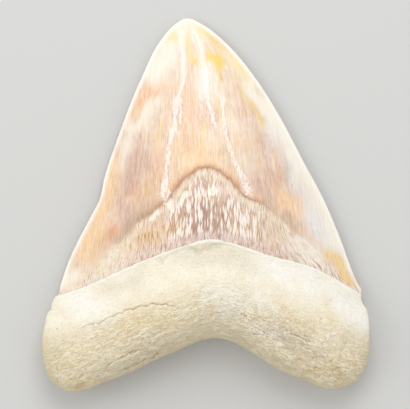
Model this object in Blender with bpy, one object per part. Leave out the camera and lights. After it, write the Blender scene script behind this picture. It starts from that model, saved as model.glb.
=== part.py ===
"""A large fossil shark tooth, laid on its flat outer face with its tip towards +Y.

The tooth is one closed body of an upper and a lower sheet that meet along its outline. Both sheets come
from one grid. Its rows follow the tooth's own lines, from the arched bottom of the root, past the root's
top line and the lower edge of the enamel, to the tip. Its columns fan out from the tip.
"""

import bmesh
import bpy
import numpy as np
from mathutils import Vector, noise

MM = 0.001

# Driving dimensions, in millimetres
WIDTH = 104.6  # across the root lobes
HEIGHT = 119.4  # from the lower lobe to the tip, square to the width
THICKNESS = 26.0  # at the bulge of the root
CROWN_EDGE = 2.8  # height of the cutting edge above the surface that the tooth lies on
ROOT_EDGE = 9.5  # height of the root's outermost line above that surface
UPPER_ROUNDING = 13.0  # how far in from the outline the root's upper face rounds over
LOWER_ROUNDING = 8.0  # the same for the lower face
TIP_LIFT = 1.6  # height of the lower face under the tip
REST_CUT = 0.35  # how much the lower face is worn flat where it rests

# Shares that shape the body
LOBE_THINNING = 0.66  # of the root's height over its edge, lost towards a lobe's end
TIP_THINNING = 0.25  # of the cutting edge's height, lost at the tip
ARCH_FULLNESS = 0.9  # of the crown's arch that is a plain parabola
EDGE_CHANGE = (0.13, 0.33)  # of HEIGHT, between which the root's thick edge becomes the cutting edge
TIP_START = 0.8  # of HEIGHT, where the tip begins to thin and lift
FLAT_SHARE = 0.3  # of the crown's half width that is flat below

# The lines of the tooth, as shares in percent: of WIDTH from the middle, and of HEIGHT from the bottom.
LEFT_SIDE = (
    (-41.5, 0.0), (-46.8, 2.4), (-49.6, 7.6), (-50.0, 12.7), (-49.2, 17.8), (-47.9, 21.5),
    (-46.4, 24.4), (-44.8, 27.5), (-42.6, 33.7), (-38.9, 40.8), (-34.8, 47.6), (-32.7, 51.2),
    (-31.2, 57.0), (-27.3, 67.3), (-20.1, 83.3), (-13.8, 94.1), (-9.4, 98.4),
)
TIP = ((-5.9, 100.0),)
RIGHT_SIDE = (
    (-1.2, 98.4), (5.2, 94.1), (15.6, 83.4), (23.2, 72.7), (29.7, 61.9), (36.2, 51.2),
    (41.4, 40.5), (44.8, 32.4), (47.3, 27.6), (47.6, 25.2), (49.2, 20.9), (49.9, 15.0),
    (49.6, 9.1), (46.2, 3.0), (38.1, 0.6),
)
BOTTOM = (
    (30.1, 2.9), (22.6, 5.6), (17.7, 8.3), (12.8, 11.0), (6.8, 13.6), (2.3, 14.2),
    (-1.4, 13.6), (-8.4, 11.0), (-15.8, 8.2), (-21.6, 5.6), (-29.6, 2.8),
)
ROOT_LINE = (
    (-45.6, 25.5), (-37.5, 27.9), (-27.4, 31.9), (-17.3, 35.7), (-6.6, 39.1), (1.4, 40.8),
    (10.6, 39.1), (19.1, 36.5), (32.6, 33.2), (40.2, 29.8), (47.4, 26.0),
)
ENAMEL_LINE = (
    (-44.8, 27.5), (-38.4, 29.8), (-32.3, 35.7), (-25.9, 41.0), (-20.6, 45.8), (-15.1, 49.6),
    (-10.9, 52.5), (-8.4, 56.3), (-5.4, 58.6), (-2.0, 60.1), (1.4, 60.6), (4.7, 59.2),
    (9.6, 55.8), (12.7, 52.6), (17.0, 50.0), (23.7, 45.8), (29.5, 42.9), (35.6, 39.1),
    (41.8, 31.6), (47.3, 27.6),
)

# Heights along the middle of the upper face, in percent of THICKNESS. The crown's are at shares of HEIGHT.
CROWN_CREST = (
    (0.0, 84.0), (30.0, 86.0), (41.0, 82.0), (50.0, 73.0), (60.0, 62.0), (70.0, 49.5),
    (80.0, 37.0), (90.0, 24.0), (96.0, 15.5), (100.0, 8.5),
)
# Places along the tooth are counted from 0 at the bottom, by 1 at the root line and 2 at the enamel line,
# to 3 at the tip. The root's heights are at such places.
ROOT_CREST = ((0.0, 95.0), (0.3, 101.0), (0.55, 103.0), (0.8, 98.0), (1.0, 89.0), (1.3, 82.0))
ROOT_FADE = (0.25, 1.15)  # places between which the root's shape gives way to the crown's
LIP = 0.985  # place of the root's raised lip
BAND = (1.03, 1.97)  # places where the sunk band between root and enamel begins and ends
ENAMEL = 2.012  # place of the enamel's ledge
# Steps of the upper surface at such places, in millimetres
STEPS = ((0.86, 0.0), (LIP, 0.35), (BAND[0], -0.35), (BAND[1], -0.4), (ENAMEL, 0.1), (2.12, 0.0))

# Hollows of the root's upper face: place across from the middle and along from the bottom, length,
# breadth and depth in millimetres, and turn in degrees
HOLLOWS = (
    (28.0, 15.5, 9.0, 4.0, 1.0, -24.0),
    (16.5, 20.5, 7.0, 3.5, 0.5, -20.0),
    (-40.5, 4.0, 2.8, 2.2, 0.6, 0.0),
    (-16.0, 27.0, 12.0, 4.0, 0.4, 14.0),
)
# The wide hollow of the lower face between the lobes, in the same way
UNDER_HOLLOW = (0.0, 26.3, 22.0, 14.0, 2.2, 0.0)
# Soft lumps: their width, and their height on the crown, the root and the lower face, in millimetres
LUMP_WIDTH = 9.0
CROWN_LUMPS = 0.12
ROOT_LUMPS = 0.6
UNDER_LUMPS = 0.35

# Resolution
COLUMNS = 44
ROOT_ROWS = 17
BAND_ROWS = 8
CROWN_ROWS = 28
CURVE_STEPS = 12


def curve_through(knots, closed=False):
    """Points of a smooth curve through the knots, in millimetres."""
    points = np.array(knots) * (WIDTH / 100, HEIGHT / 100)
    if closed:
        points = np.vstack((points[-1:], points, points[:2]))
    else:
        points = np.vstack((2 * points[:1] - points[1:2], points, 2 * points[-1:] - points[-2:-1]))
    gaps = np.linalg.norm(np.diff(points, axis=0), axis=1)[:, None]
    rates = np.diff(points, axis=0) / gaps
    tangents = (rates[:-1] * gaps[1:] + rates[1:] * gaps[:-1]) / (gaps[:-1] + gaps[1:])
    part = np.arange(CURVE_STEPS)[:, None] / CURVE_STEPS
    pieces = []
    for start, end, leave, arrive, gap in zip(
        points[1:-2], points[2:-1], tangents[:-1], tangents[1:], gaps[1:-1]
    ):
        straight = start * (1 + 2 * part) * (1 - part) ** 2 + end * part**2 * (3 - 2 * part)
        bend = leave * part * (1 - part) ** 2 - arrive * part**2 * (1 - part)
        pieces.append(straight + gap * bend)
    if not closed:
        pieces.append(points[-2:-1])
    return np.vstack(pieces)


def split_outline():
    """The whole outline, and its left side, right side and bottom, each running up or to the right."""
    loop = curve_through(LEFT_SIDE + TIP + RIGHT_SIDE + BOTTOM, closed=True)
    loop = np.roll(loop, -np.argmax(loop[:, 1]), axis=0)
    right_low = np.argmin(np.where(loop[:, 0] > 0, loop[:, 1], HEIGHT))
    left_low = np.argmin(np.where(loop[:, 0] < 0, loop[:, 1], HEIGHT))
    left = np.vstack((loop[left_low:], loop[:1]))
    right = loop[: right_low + 1][::-1]
    bottom = loop[right_low : left_low + 1][::-1]
    return loop, left, right, bottom


def row_places():
    """Places of the rows: close together at the root's rim, at both steps and at the tip."""
    root = 1 - np.cos(np.linspace(0, np.pi / 2, ROOT_ROWS + 1))
    band = np.linspace(*BAND, BAND_ROWS + 1)
    share = np.linspace(0, 1, CROWN_ROWS + 1)
    crown = ENAMEL + (3 - ENAMEL) * (0.35 * share + 0.65 * np.sin(share * np.pi / 2))
    return np.concatenate((root * LIP, band, crown))


def column_shares(places):
    """Shares across the tooth for each row, closest together at the sides of the root."""
    even = np.linspace(0, 1, COLUMNS + 1)[None, :]
    crowded = (1 - np.cos(even * np.pi)) / 2
    weight = np.interp(places, (0.0, 1.0, 2.0, 3.0), (0.9, 0.8, 0.45, 0.3))[:, None]
    return even + (crowded - even) * weight


def lay_out_rows(places, shares, left, right, bottom):
    """X and Y of every crossing of a row and a column."""
    lines = [bottom, curve_through(ROOT_LINE), curve_through(ENAMEL_LINE)]
    below_tip = np.minimum(places.astype(int), 2)
    part = (places - below_tip)[:, None]
    heights = np.zeros((4,) + shares.shape)
    for number, line in enumerate(lines):
        start = line[0, 0]
        across = start + (line[-1, 0] - start) * shares
        heights[number] = np.interp(across, line[:, 0], line[:, 1])
    heights[3] = HEIGHT
    rows = np.arange(len(places))
    y = heights[below_tip, rows] * (1 - part) + heights[below_tip + 1, rows] * part
    x_left = np.interp(y[:, :1], left[:, 1], left[:, 0])
    x_right = np.interp(y[:, -1:], right[:, 1], right[:, 0])
    return x_left + (x_right - x_left) * shares, y


def distance_in(x, y, loop):
    """How far inside the outline each point lies."""
    starts = loop
    sides = np.roll(loop, -1, axis=0) - starts
    squares = (sides**2).sum(axis=1)
    nearest = np.full(x.shape, np.inf)
    for start, side, square in zip(starts, sides, squares):
        along = np.clip(((x - start[0]) * side[0] + (y - start[1]) * side[1]) / square, 0, 1)
        away = np.hypot(x - start[0] - along * side[0], y - start[1] - along * side[1])
        nearest = np.minimum(nearest, away)
    nearest[:, (0, -1)] = 0
    nearest[(0, -1), :] = 0
    return nearest


def ease(value, low, high):
    """Rises smoothly from 0 at low to 1 at high."""
    part = np.clip((value - low) / (high - low), 0, 1)
    return part * part * (3 - 2 * part)


def quarter_round(share):
    """Height of a quarter circle at a share of its radius in from the rim."""
    inward = np.clip(share, 0, 1)
    return np.sqrt(2 * inward - inward * inward)


def edge_height(y):
    """Height of the outline itself: thin at the crown's cutting edges, thick round the root."""
    crown = CROWN_EDGE * (1 - TIP_THINNING * ease(y, TIP_START * HEIGHT, HEIGHT))
    return ROOT_EDGE + (crown - ROOT_EDGE) * ease(y, EDGE_CHANGE[0] * HEIGHT, EDGE_CHANGE[1] * HEIGHT)


def hollow(x, y, middle_x, middle_y, length, breadth, depth, turn):
    """Depth of one smooth oval hollow."""
    angle = np.radians(turn)
    along = (x - middle_x) * np.cos(angle) + (y - middle_y) * np.sin(angle)
    aside = (y - middle_y) * np.cos(angle) - (x - middle_x) * np.sin(angle)
    return depth * np.exp(-((along / length) ** 2) - (aside / breadth) ** 2)


def lumps(x, y, layer):
    """Soft unevenness between -1 and 1. Each layer has its own."""
    height = np.zeros(x.shape)
    for spot in np.ndindex(x.shape):
        height[spot] = noise.noise(Vector((x[spot] / LUMP_WIDTH, y[spot] / LUMP_WIDTH, layer)))
    return height


def crest_height(crest, place):
    """Height along the middle, in millimetres, from a list of places and percents."""
    knots = np.array(crest)
    return np.interp(place, knots[:, 0], knots[:, 1]) * THICKNESS / 100


def share_across(x, y, left, right):
    """Place between the left side at -1 and the right side at 1, straight across the tooth."""
    x_left = np.interp(y, left[:, 1], left[:, 0])
    x_right = np.interp(y, right[:, 1], right[:, 0])
    return np.clip((2 * x - x_left - x_right) / np.maximum(x_right - x_left, 0.01), -1, 1)


def upper_surface(x, y, places, across, inside):
    """Heights of the upper sheet: an arched crown, and a thick root with a rounded rim."""
    edge = edge_height(y)
    arch = 1 - across**2
    fullness = ARCH_FULLNESS + (1 - ARCH_FULLNESS) * arch
    crown = edge + (crest_height(CROWN_CREST, y / HEIGHT * 100) - edge) * arch * fullness
    lobes = 1 - LOBE_THINNING * np.clip(np.abs(x) / (WIDTH / 2), 0, 1) ** 1.5
    root = ROOT_EDGE + (crest_height(ROOT_CREST, places) - ROOT_EDGE) * lobes
    root = edge + (root - edge) * quarter_round(inside / UPPER_ROUNDING)
    root_share = 1 - ease(places, *ROOT_FADE)
    steps = np.array(STEPS)
    relief = np.interp(places, steps[:, 0], steps[:, 1])
    relief += lumps(x, y, 0.0) * (CROWN_LUMPS + (ROOT_LUMPS - CROWN_LUMPS) * root_share)
    relief -= sum(hollow(x, y, *shape) for shape in HOLLOWS)
    height = crown + (root - crown) * root_share + relief * ease(inside, 0.0, 5.0)
    return np.where(inside > 0, height, edge)


def lower_surface(x, y, across, inside):
    """Heights of the lower sheet: flat where the tooth rests, hollow between the lobes, lifted to the rim."""
    edge = edge_height(y)
    crown = edge * np.clip((np.abs(across) - FLAT_SHARE) / (1 - FLAT_SHARE), 0, 1) ** 2
    root = edge * (1 - quarter_round(inside / LOWER_ROUNDING))
    root_share = 1 - ease(y, EDGE_CHANGE[0] * HEIGHT, EDGE_CHANGE[1] * HEIGHT)
    lift = crown + (root - crown) * root_share
    relief = hollow(x, y, *UNDER_HOLLOW) + lumps(x, y, 5.0) * UNDER_LUMPS
    relief += TIP_LIFT * ease(y, TIP_START * HEIGHT, HEIGHT) * (1 - np.abs(across) ** 3)
    height = lift + (relief - REST_CUT) * ease(inside, 0.0, 4.0)
    return np.where(inside > 0, np.maximum(height, 0), edge)


def add_sheet(body, x, y, z, facing_up):
    """Adds one sheet to the body, as a grid bent into shape."""
    rows, columns = x.shape
    made = bmesh.ops.create_grid(body, x_segments=columns - 1, y_segments=rows - 1, size=1.0)
    for vertex in made["verts"]:
        column = round((vertex.co.x + 1) / 2 * (columns - 1))
        row = round((vertex.co.y + 1) / 2 * (rows - 1))
        vertex.co = Vector((x[row, column], y[row, column], z[row, column])) * MM
    if not facing_up:
        faces = {face for vertex in made["verts"] for face in vertex.link_faces}
        bmesh.ops.reverse_faces(body, faces=list(faces))


def tooth_mesh():
    """The whole tooth as one closed mesh, standing centred over the origin."""
    loop, left, right, bottom = split_outline()
    places = row_places()
    shares = column_shares(places)
    x, y = lay_out_rows(places, shares, left, right, bottom)
    inside = distance_in(x, y, loop)
    across = share_across(x, y, left, right)
    along = np.broadcast_to(places[:, None], x.shape)
    body = bmesh.new()
    add_sheet(body, x, y, upper_surface(x, y, along, across, inside), True)
    add_sheet(body, x, y, lower_surface(x, y, across, inside), False)
    bmesh.ops.remove_doubles(body, verts=body.verts, dist=0.002 * MM)
    middle = Vector(((x.max() + x.min()) / 2, (y.max() + y.min()) / 2, 0)) * MM
    bmesh.ops.translate(body, verts=body.verts, vec=-middle)
    bmesh.ops.triangulate(body, faces=body.faces, quad_method="SHORT_EDGE")
    mesh = bpy.data.meshes.new("tooth")
    body.to_mesh(mesh)
    body.free()
    mesh.shade_smooth()
    mesh.set_sharp_from_angle(angle=np.radians(40))
    return mesh


def fossil_material():
    """Cream fossil enamel and root."""
    material = bpy.data.materials.new("fossil_tooth")
    material.use_nodes = True
    shader = material.node_tree.nodes["Principled BSDF"]
    shader.inputs["Base Color"].default_value = (0.83, 0.68, 0.5, 1)
    shader.inputs["Roughness"].default_value = 0.45
    shader.inputs["Metallic"].default_value = 0
    return material


def main():
    """Clears the scene's objects and adds the tooth."""
    for old in list(bpy.data.objects):
        bpy.data.objects.remove(old)
    mesh = tooth_mesh()
    mesh.materials.append(fossil_material())
    tooth = bpy.data.objects.new("tooth", mesh)
    bpy.context.scene.collection.objects.link(tooth)


main()
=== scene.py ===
"""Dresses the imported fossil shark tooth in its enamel, its striated band and its root.

The tooth lies on its flat outer face with its tip towards +Y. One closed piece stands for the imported
solid and carries the fine relief: the enamel's ledge, the flakes of the band, the root's lip, cracks,
fibres and pits. Places on the tooth are given as shares, in hundredths, of its width from the middle
and of its height from the lowest point.
"""

import logging
import math
from dataclasses import dataclass, field
from enum import Enum

import bmesh
import bpy
import numpy as np
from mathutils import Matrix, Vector, noise


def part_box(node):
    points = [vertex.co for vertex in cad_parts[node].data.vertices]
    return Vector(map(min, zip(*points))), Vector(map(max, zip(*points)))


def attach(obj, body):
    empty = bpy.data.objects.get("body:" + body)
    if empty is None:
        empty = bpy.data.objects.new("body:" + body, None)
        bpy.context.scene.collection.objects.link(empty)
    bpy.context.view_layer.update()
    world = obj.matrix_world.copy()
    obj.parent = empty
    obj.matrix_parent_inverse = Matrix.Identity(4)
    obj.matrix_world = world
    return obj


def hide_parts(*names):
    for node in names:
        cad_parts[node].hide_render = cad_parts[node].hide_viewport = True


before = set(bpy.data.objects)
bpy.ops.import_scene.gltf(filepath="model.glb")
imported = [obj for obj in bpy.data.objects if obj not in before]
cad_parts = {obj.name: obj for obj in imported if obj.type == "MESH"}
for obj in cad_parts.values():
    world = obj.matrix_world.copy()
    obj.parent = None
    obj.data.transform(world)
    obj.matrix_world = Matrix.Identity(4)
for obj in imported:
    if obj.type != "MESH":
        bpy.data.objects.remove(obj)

MM = 0.001
NODE = "tooth"
LOG = logging.getLogger("tooth")

Knots = tuple[tuple[float, float], ...]
Colour = tuple[float, float, float]


def ease(value: np.ndarray, low: float, high: float) -> np.ndarray:
    """Rises smoothly from 0 at low to 1 at high."""
    part = np.clip((value - low) / (high - low), 0, 1)
    return part * part * (3 - 2 * part)


def quarter_round(share: np.ndarray) -> np.ndarray:
    """Height of a quarter circle at a share of its radius in from the rim."""
    inward = np.clip(share, 0, 1)
    return np.sqrt(2 * inward - inward * inward)


def bump_at(value: np.ndarray, middle: float, width: float) -> np.ndarray:
    """A smooth hump of height 1 around middle."""
    return np.exp(-(((value - middle) / width) ** 2))


def curve_through(knots: np.ndarray, closed: bool = False, steps: int = 12) -> np.ndarray:
    """Points of a smooth curve through the knots.

    Args:
        knots: Points in order, one a row.
        closed: Whether the last knot joins the first.
        steps: Points from each knot to the next.

    Returns:
        The curve's points, one a row.
    """
    if closed:
        points = np.vstack((knots[-1:], knots, knots[:2]))
    else:
        points = np.vstack((2 * knots[:1] - knots[1:2], knots, 2 * knots[-1:] - knots[-2:-1]))
    gaps = np.linalg.norm(np.diff(points, axis=0), axis=1)[:, None]
    rates = np.diff(points, axis=0) / gaps
    tangents = (rates[:-1] * gaps[1:] + rates[1:] * gaps[:-1]) / (gaps[:-1] + gaps[1:])
    part = np.arange(steps)[:, None] / steps
    stretches = []
    for number in range(len(points) - 3):
        start, end = points[number + 1], points[number + 2]
        leave, arrive = tangents[number], tangents[number + 1]
        straight = start * (1 + 2 * part) * (1 - part) ** 2 + end * part**2 * (3 - 2 * part)
        bend = leave * part * (1 - part) ** 2 - arrive * part**2 * (1 - part)
        stretches.append(straight + gaps[number + 1] * bend)
    if not closed:
        stretches.append(knots[-1:])
    return np.vstack(stretches)


def value_along(knots: Knots, place: np.ndarray) -> np.ndarray:
    """A smooth function through (place, value) knots."""
    line = curve_through(np.array(knots, dtype=float))
    return np.interp(place, line[:, 0], line[:, 1])


def distance_to_path(x: np.ndarray, y: np.ndarray, path: np.ndarray) -> np.ndarray:
    """Distance of each point from a path of straight stretches.

    Args:
        x: Places across.
        y: Places along.
        path: The path's points, one a row.

    Returns:
        The distances, in the unit of the places.
    """
    nearest = np.full(x.shape, np.inf)
    for start, end in zip(path[:-1], path[1:]):
        side = end - start
        square = max(float(side @ side), 1e-12)
        share = np.clip(((x - start[0]) * side[0] + (y - start[1]) * side[1]) / square, 0, 1)
        away = np.hypot(x - start[0] - share * side[0], y - start[1] - share * side[1])
        nearest = np.minimum(nearest, away)
    return nearest


@dataclass(frozen=True)
class Grain:
    """Smooth random unevenness in two directions, the same on every run."""

    seed: int

    def at(self, across: np.ndarray, along: np.ndarray) -> np.ndarray:
        """Values between about -1 and 1, with features about 1 apart.

        Args:
            across: Places in one direction.
            along: Places in the other.

        Returns:
            The value at each place.
        """
        turns = np.random.default_rng(self.seed).random((256, 256)) * 2 * np.pi
        column = np.floor(across).astype(int)
        row = np.floor(along).astype(int)
        right = across - column
        up = along - row
        fade_right = right**3 * (right * (right * 6 - 15) + 10)
        fade_up = up**3 * (up * (up * 6 - 15) + 10)
        total = np.zeros(across.shape)
        for step_right in (0, 1):
            for step_up in (0, 1):
                turn = turns[(column + step_right) % 256, (row + step_up) % 256]
                slope = np.cos(turn) * (right - step_right) + np.sin(turn) * (up - step_up)
                weight = fade_right if step_right else 1 - fade_right
                total += slope * weight * (fade_up if step_up else 1 - fade_up)
        return total * 1.5

    def cloud(self, across: np.ndarray, along: np.ndarray, octaves: int = 3) -> np.ndarray:
        """The same with finer unevenness added, each octave half as wide and half as high.

        Args:
            across: Places in one direction.
            along: Places in the other.
            octaves: How many there are.

        Returns:
            The value at each place.
        """
        total = np.zeros(across.shape)
        for octave in range(octaves):
            total += Grain(self.seed + octave).at(across * 2**octave, along * 2**octave) / 2**octave
        return total


class Tint(Enum):
    """The stains that the fossil enamel and the root have taken up; ASH also paints the shade just below the
    root's lip.
    """

    AMBER = "amber"
    HONEY = "honey"
    ORANGE = "orange"
    RED = "red"
    MAUVE = "mauve"
    PALE = "pale"
    GREY = "grey"
    CHALK = "chalk"
    OCHRE = "ochre"
    ASH = "ash"
    BROWN = "brown"


# Soft patches and ribbons of each tint: half width in millimetres, strength, and the places on its path.
STAINS: dict[Tint, tuple[tuple, ...]] = {
    Tint.AMBER: (
        (1.1, 0.75, (-4.2, 90.0), (-2.4, 90.6)),
        (1.3, 0.9, (0.0, 89.8), (2.2, 90.3), (3.8, 88.8), (4.6, 86.6)),
        (2.2, 0.5, (-1.5, 96.5), (3.0, 94.0), (6.9, 91.0), (12.4, 85.0)),
        (1.2, 0.4, (-5.8, 93.5), (-5.2, 91.0)),
        (1.0, 0.3, (10.4, 80.8), (12.5, 78.2), (14.7, 75.0), (16.9, 71.5)),
        (0.7, 0.35, (-13.5, 73.0), (-14.0, 66.0)), (0.8, 0.35, (-1.0, 70.0), (-1.5, 64.0)),
        (1.1, 0.7, (37.0, 36.8), (40.4, 33.0), (44.2, 28.8)), (1.6, 0.45, (-11.5, 94.6), (-8.4, 95.4)),
        (0.8, 0.5, (3.6, 77.0), (4.6, 73.0)),
        (2.8, 0.15, (-8.0, 58.6), (-4.5, 62.8), (1.0, 64.0), (6.1, 61.8), (9.5, 58.0)),
        (3.0, 0.12, (-18.0, 52.0), (-17.0, 55.0)),
    ),
    Tint.HONEY: (
        (1.1, 0.4, (37.8, 36.6), (40.8, 33.0), (45.2, 28.4)),
        (2.0, 0.9, (-29.0, 60.0), (-30.0, 52.5), (-32.0, 48.0), (-34.2, 43.6), (-37.0, 38.0)),
        (2.2, 0.85, (23.6, 52.6), (25.4, 49.8), (27.4, 47.2)),
    ),
    Tint.ORANGE: (
        (2.4, 0.95, (-19.8, 76.9), (-16.8, 80.3), (-13.2, 83.2)),
        (5.0, 0.45, (-3.2, 64.6), (-4.7, 70.6), (-6.0, 76.3)), (4.0, 0.2, (8.1, 75.3), (10.4, 68.6)),
        (3.0, 0.35, (-27.5, 61.1), (-30.6, 50.9), (-33.5, 42.0), (-35.5, 37.0)),
        (1.6, 0.55, (-31.6, 41.4), (-30.8, 38.4)), (1.4, 0.5, (-30.6, 52.6), (-31.2, 47.6)),
        (0.8, 1.0, (21.8, 62.6), (22.4, 58.0), (22.4, 54.6), (22.1, 50.6)),
        (4.0, 0.45, (-17.5, 51.5), (-15.0, 56.0), (-14.0, 62.0)),
        (3.4, 0.5, (24.3, 52.5), (28.9, 44.5), (32.6, 41.8)),
    ),
    Tint.RED: (
        (1.6, 0.4, (-22.2, 56.0), (-21.6, 53.2)), (0.35, 0.5, (21.9, 61.0), (22.5, 56.6)),
        (1.7, 0.65, (-29.4, 39.6), (-28.4, 43.4)),
    ),
    Tint.MAUVE: (
        (2.4, 0.35, (13.0, 62.5), (13.8, 58.0)), (1.3, 0.8, (26.0, 55.2), (27.2, 52.4)),
        (2.2, 0.75, (15.4, 55.0), (18.4, 52.2)),
        (4.0, 0.85, (-20.7, 62.4), (-22.8, 59.6), (-23.4, 54.9)),
        (3.2, 0.5, (-17.3, 60.0), (-18.2, 49.0)),
        (2.6, 0.45, (3.4, 64.0), (6.4, 61.6), (10.4, 58.6), (15.0, 54.0)),
        (2.2, 0.3, (-0.6, 75.0), (1.0, 70.0)), (3.2, 0.7, (-27.0, 50.5), (-24.6, 48.4), (-21.0, 47.8)),
        (1.3, 0.9, (9.6, 55.6), (10.8, 53.6)), (1.2, 0.8, (-15.6, 51.2), (-14.0, 50.2)),
        (3.4, 0.3, (17.3, 68.3), (19.1, 63.3)), (2.8, 0.75, (19.1, 57.6), (20.4, 53.0)),
        (2.4, 0.35, (25.9, 47.2), (28.9, 43.7)), (1.8, 0.5, (10.9, 84.4), (13.2, 81.8)),
        (2.4, 0.6, (-31.0, 39.5), (-26.4, 43.3), (-22.0, 47.0)),
        (2.0, 0.22, (-10.4, 88.7), (-10.2, 84.7)),
    ),
    Tint.PALE: (
        (1.0, 0.5, (36.6, 40.0), (39.4, 37.0), (42.6, 33.0)), (2.6, 0.9, (-44.0, 29.4), (-40.6, 30.4)),
        (2.0, 0.35, (11.4, 62.6), (12.8, 58.6)), (3.6, 0.9, (-8.5, 96.0), (-5.9, 98.5), (-3.0, 96.0)),
        (4.2, 1.0, (-11.4, 93.7), (-12.9, 88.2), (-16.0, 85.4)),
        (1.9, 0.8, (-15.5, 77.3), (-19.0, 74.0), (-23.0, 70.6)), (1.1, 1.1, (1.7, 54.0), (2.7, 54.8)),
        (1.0, 1.1, (-6.8, 51.4), (-5.4, 52.6)), (1.3, 0.9, (-16.0, 45.6), (-14.6, 46.8)),
        (1.2, 0.9, (-12.0, 50.4), (-10.6, 48.2)), (3.4, 0.6, (0.5, 88.2), (0.8, 80.7)),
        (1.1, 0.6, (3.0, 84.0), (3.8, 79.5)), (1.8, 0.5, (7.4, 74.5), (9.8, 70.5)),
        (1.3, 0.4, (0.8, 68.6), (2.2, 65.6)), (1.5, 0.7, (-23.4, 68.6), (-24.6, 64.0), (-26.5, 60.0)),
        (2.4, 1.0, (8.0, 90.0), (14.5, 81.5), (22.3, 71.2), (28.9, 60.2), (36.0, 49.9), (41.0, 39.5)),
    ),
    Tint.GREY: (
        (2.8, 0.8, (20.9, 71.0), (23.9, 64.5), (28.0, 56.0), (31.5, 50.0)),
        (3.8, 1.0, (31.5, 47.5), (35.4, 43.0), (39.0, 38.0)),
    ),
    Tint.CHALK: (
        (3.6, 0.95, (-40.0, 24.4), (-36.0, 21.5), (-33.0, 20.6)),
        (3.6, 0.95, (20.0, 34.0), (26.0, 32.0), (36.0, 28.6), (44.0, 23.5), (47.5, 18.0)),
        (2.8, 0.85, (0.5, 26.0), (5.0, 25.6), (9.6, 24.4)), (1.6, 0.5, (18.0, 22.4), (21.0, 21.4)),
        (2.6, 0.9, (5.0, 22.6), (10.0, 23.8), (16.0, 23.8)),
        (1.7, 0.45, (10.7, 19.0), (15.0, 17.4), (20.0, 15.6)), (1.6, 0.6, (35.5, 13.5), (39.0, 15.0)),
    ),
    Tint.OCHRE: (
        (0.5, 1.3, (2.8, 89.8), (4.0, 87.4), (4.6, 83.6)),
        (2.6, 0.6, (-36.0, 39.0), (-33.0, 38.5), (-31.0, 42.0)),
        (0.9, 0.55, (12.4, 78.8), (14.0, 76.2), (16.6, 72.4)), (3.0, 0.35, (-2.0, 63.0), (-5.0, 67.0)),
        (1.8, 0.5, (-3.4, 60.4), (2.4, 61.0)), (2.2, 0.75, (-21.0, 20.0), (-17.0, 19.2), (-12.8, 18.2)),
        (3.0, 0.3, (-44.0, 8.0), (-41.5, 4.5), (-37.5, 3.0)), (3.0, 0.35, (-33.0, 15.5), (-24.0, 16.5)),
        (1.2, 0.85, (13.6, 22.4), (15.4, 20.7)), (1.5, 0.45, (22.8, 22.0), (26.2, 19.8), (30.5, 16.6)),
        (1.5, 0.4, (36.0, 23.6), (38.6, 20.1)), (2.8, 0.65, (28.0, 9.0), (35.0, 5.6), (40.0, 4.6)),
    ),
    Tint.ASH: (
        (1.5, 0.9, (-16.6, 48.9), (-19.7, 47.7), (-22.4, 44.8), (-25.0, 42.2), (-27.0, 40.6)),
        (0.9, 0.6, (-15.2, 50.6), (-13.8, 50.0)), (1.2, 0.45, (24.4, 61.6), (24.2, 56.6)),
        (1.6, 0.5, (18.6, 50.6), (20.4, 48.6)), (1.5, 0.6, (24.6, 46.0), (27.4, 44.0)),
        (2.6, 0.3, (-30.0, 27.4), (-20.0, 31.4)), (2.8, 1.0, (24.0, 14.6), (28.0, 12.4), (32.4, 10.6)),
        (2.6, 0.4, (-30.0, 4.6), (-22.0, 7.6), (-12.0, 11.4)),
        (1.8, 0.6, (8.0, 14.8), (15.0, 12.4), (23.0, 8.0), (31.0, 4.6)),
        # The narrow strip here and the first on the next line, just below the root's lip, are partly grey
        # stain and partly painted shade under the lip.
        (1.0, 0.95, (-9.0, 38.0), (-3.0, 38.4), (1.0, 38.6), (6.0, 39.2)),
        (0.7, 0.5, (-18.0, 34.2), (-10.5, 36.8)), (3.0, 0.35, (-8.0, 35.8), (8.0, 36.4)),
        (2.4, 0.3, (8.0, 35.6), (15.0, 33.6)), (2.6, 0.6, (-20.0, 12.0), (-15.6, 13.0)),
    ),
    Tint.BROWN: (
        (1.0, 0.9, (-38.4, 29.0), (-35.0, 31.2)), (1.0, 0.8, (-39.3, 1.9), (-37.9, 2.6)),
        (1.6, 0.3, (37.2, 5.9), (41.0, 4.0)),
    ),
}


@dataclass(frozen=True)
class Crack:
    """A healed white crack of the enamel.

    Each knot has its place in shares of the tooth, and the crack's half width there in millimetres.
    """

    knots: tuple[tuple[float, float, float], ...]
    strength: float
    groove: bool = True


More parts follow.
